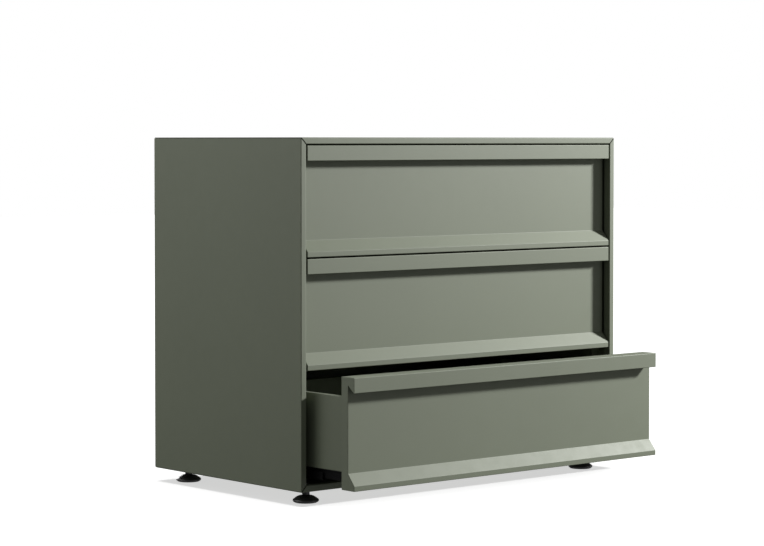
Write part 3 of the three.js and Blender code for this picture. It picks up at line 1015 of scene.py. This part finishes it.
def build_feet():
    """Each foot's pad, its stem with a hexagonal collar, and the nut inside the casing."""
    for name, centre in foot_places():
        base = (centre.x, centre.y, 0.0)
        low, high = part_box(f"{name}_foot_pad")
        bm = bmesh.new()
        add_turned(bm, pad_profile((high.x - low.x) / 2), base, UP, segments=64)
        finished(f"{name}_pad", bm, BLACK_NYLON, f"{name}_foot_pad", [f"{name}_foot_pad"])

        low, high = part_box(f"{name}_foot_stem")
        collar = (high.y - low.y) / 2
        collar_low = PAD_HEIGHT + FOOT_PLAY
        collar_high = FLOOR_Z - FOOT_PLAY
        pin = SOCKET_RADIUS - FOOT_PLAY
        pin_low = SOCKET_FLOOR + FOOT_PLAY
        bm = bmesh.new()
        add_turned(bm, [
            (0.0, collar_low),
            (collar * COLLAR_END, collar_low),
            (collar, collar_low + COLLAR_CHAMFER),
            (collar, collar_high - COLLAR_CHAMFER),
            (collar * COLLAR_END, collar_high),
            (0.0, collar_high),
        ], base, UP, segments=6)
        add_turned(bm, [
            (0.0, pin_low),
            (pin * PIN_END, pin_low),
            (pin, pin_low + PIN_CHAMFER),
            (pin, collar_low + PIN_OVERLAP),
            (0.0, collar_low + PIN_OVERLAP),
        ], base, UP)
        add_thread(bm, centre, collar_high - THREAD_OVERLAP, high.z)
        finished(f"{name}_stem", bm, BLACK_STEEL, f"{name}_foot_stem", [f"{name}_foot_stem"])

        low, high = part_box(f"{name}_foot_nut")
        profile = nut_profile((high.x - low.x) / 2, low.z, high.z)
        bm = bmesh.new()
        add_turned(bm, profile, base, UP, segments=48)
        finished(f"{name}_nut", bm, ZINC, "casing", [f"{name}_foot_nut"])


# ------------------------------------------------------------------ stage, light and camera

WORLD_LIGHT = 0.16
FLOOR_GLOW = 0.6  # what the floor gives off by itself
FLOOR_LIGHT = 2.2
FLOOR_LIGHT_ANGLE = math.radians(30)  # how wide that light looks from the floor
FLOOR_SIZE = 14.0
AIM = (0.0, FRONT_Y, 0.35)
LENS = 114.33
SHIFT = -0.0795
CAMERA_PLACE = (LEFT_X - 2.704, FRONT_Y - 3.367, TOP_Z - 0.005)
CAMERA_TURN = (math.radians(88.297), 0, math.radians(-40.68))
LIGHTS = (  # name, place with its Y counted from the fronts, size and watts
    ("key", (3.3, -1.45, 1.79), 0.4, 322.0),
    ("soft_low", (2.0, -3.46, 0.35), 1.6, 10.0),
    ("left", (-2.2, 0.9, 1.7), 1.5, 15.0),
    ("left_far", (-3.6, 1.6, 1.5), 3.0, 7.0),
    ("left_rear", (-2.2, 2.0, 1.2), 1.5, 7.0),
    ("left_high", (-2.6, 3.4, 2.6), 2.4, 15.0),
    ("rear", (0.8, 4.6, 1.4), 2.4, 110.0),
)


def add_light(name, kind, power, floor, state):
    """A light that skips the floor if state is EXCLUDE, or lights it alone if it is INCLUDE."""
    data = bpy.data.lights.new(name, kind)
    data.energy = power
    light = bpy.data.objects.new(name, data)
    bpy.context.scene.collection.objects.link(light)
    lit = bpy.data.collections.new(f"{name}_lit")
    lit.objects.link(floor)
    lit.collection_objects[0].light_linking.link_state = state
    light.light_linking.receiver_collection = lit
    return light


def softbox(name, spot, size, power, floor):
    """A square light that points at the fronts."""
    light = add_light(name, "AREA", power, floor, "EXCLUDE")
    light.data.shape = "SQUARE"
    light.data.size = size
    light.location = spot
    light.rotation_euler = (Vector(AIM) - Vector(spot)).to_track_quat("-Z", "Y").to_euler()


def build_lights(floor):
    """Lights the cabinet and the floor apart from each other.

    A small hard key stands on the right, a faint softbox low in front, and large ones on the
    left and behind. The floor has a light of its own, straight from above, so that it stays
    white and shows only a soft shadow under the cabinet. The drawers don't block it.
    """
    for name, (x, y, z), size, power in LIGHTS:
        softbox(name, (x, FRONT_Y + y, z), size, power, floor)
    from_above = add_light("floor_light", "SUN", FLOOR_LIGHT, floor, "INCLUDE")
    from_above.data.angle = FLOOR_LIGHT_ANGLE
    shadows = bpy.data.collections.new("floor_shadows")
    for item in bpy.context.scene.objects:
        if item.type == "MESH" and item.name.startswith(LEVELS):
            shadows.objects.link(item)
    for entry in shadows.collection_objects:
        entry.light_linking.link_state = "EXCLUDE"
    from_above.light_linking.blocker_collection = shadows


def build_floor():
    """A plain white floor that fades into the white background and doesn't light the cabinet."""
    bm = bmesh.new()
    bmesh.ops.create_grid(bm, x_segments=1, y_segments=1, size=FLOOR_SIZE)
    mesh = bpy.data.meshes.new("floor")
    bm.to_mesh(mesh)
    bm.free()
    floor = bpy.data.objects.new("floor", mesh)
    bpy.context.scene.collection.objects.link(floor)
    floor.visible_diffuse = False
    floor.visible_glossy = False
    nodes = Nodes("white_floor")
    nodes.colour(nodes.blend(nodes.noise(scale=3.0), (0.80, 0.80, 0.80), (0.82, 0.82, 0.82)))
    nodes.set(Roughness=0.9, Specular_IOR_Level=0.0)
    nodes.set(Emission_Color=(1, 1, 1, 1), Emission_Strength=FLOOR_GLOW)
    mesh.materials.append(nodes.material)
    return floor


def build_world():
    """Even white light. What the camera sees behind the cabinet is plain white."""
    world = bpy.data.worlds.new("studio")
    world.use_nodes = True
    bpy.context.scene.world = world
    tree = world.node_tree
    lighting = tree.nodes["Background"]
    lighting.inputs["Color"].default_value = (1, 1, 1, 1)
    lighting.inputs["Strength"].default_value = WORLD_LIGHT
    backdrop = tree.nodes.new("ShaderNodeBackground")
    backdrop.inputs["Color"].default_value = (1, 1, 1, 1)
    seen = tree.nodes.new("ShaderNodeLightPath").outputs["Is Camera Ray"]
    mix = tree.nodes.new("ShaderNodeMixShader")
    tree.links.new(seen, mix.inputs[0])
    tree.links.new(lighting.outputs[0], mix.inputs[1])
    tree.links.new(backdrop.outputs[0], mix.inputs[2])
    tree.links.new(mix.outputs[0], tree.nodes["World Output"].inputs["Surface"])


def build_camera():
    """At the height of the casing's top, to the left of the cabinet and almost level."""
    data = bpy.data.cameras.new("camera")
    data.sensor_width = 36.0
    data.lens = LENS
    data.shift_y = SHIFT
    camera = bpy.data.objects.new("camera", data)
    camera.location = CAMERA_PLACE
    camera.rotation_euler = CAMERA_TURN
    bpy.context.scene.collection.objects.link(camera)
    bpy.context.scene.camera = camera


# ------------------------------------------------------------------ the whole scene

build_camera()
build_casing_panels()
build_back()
build_back_screws()
build_uprights()
for level in LEVELS:
    build_front(level)
    build_box(level)
    build_drawer_fasteners(level)
    build_buffers(level)
    build_rails(level)
    build_cages(level)
build_feet()
build_lights(build_floor())
build_world()
bpy.context.scene.view_settings.view_transform = "Standard"
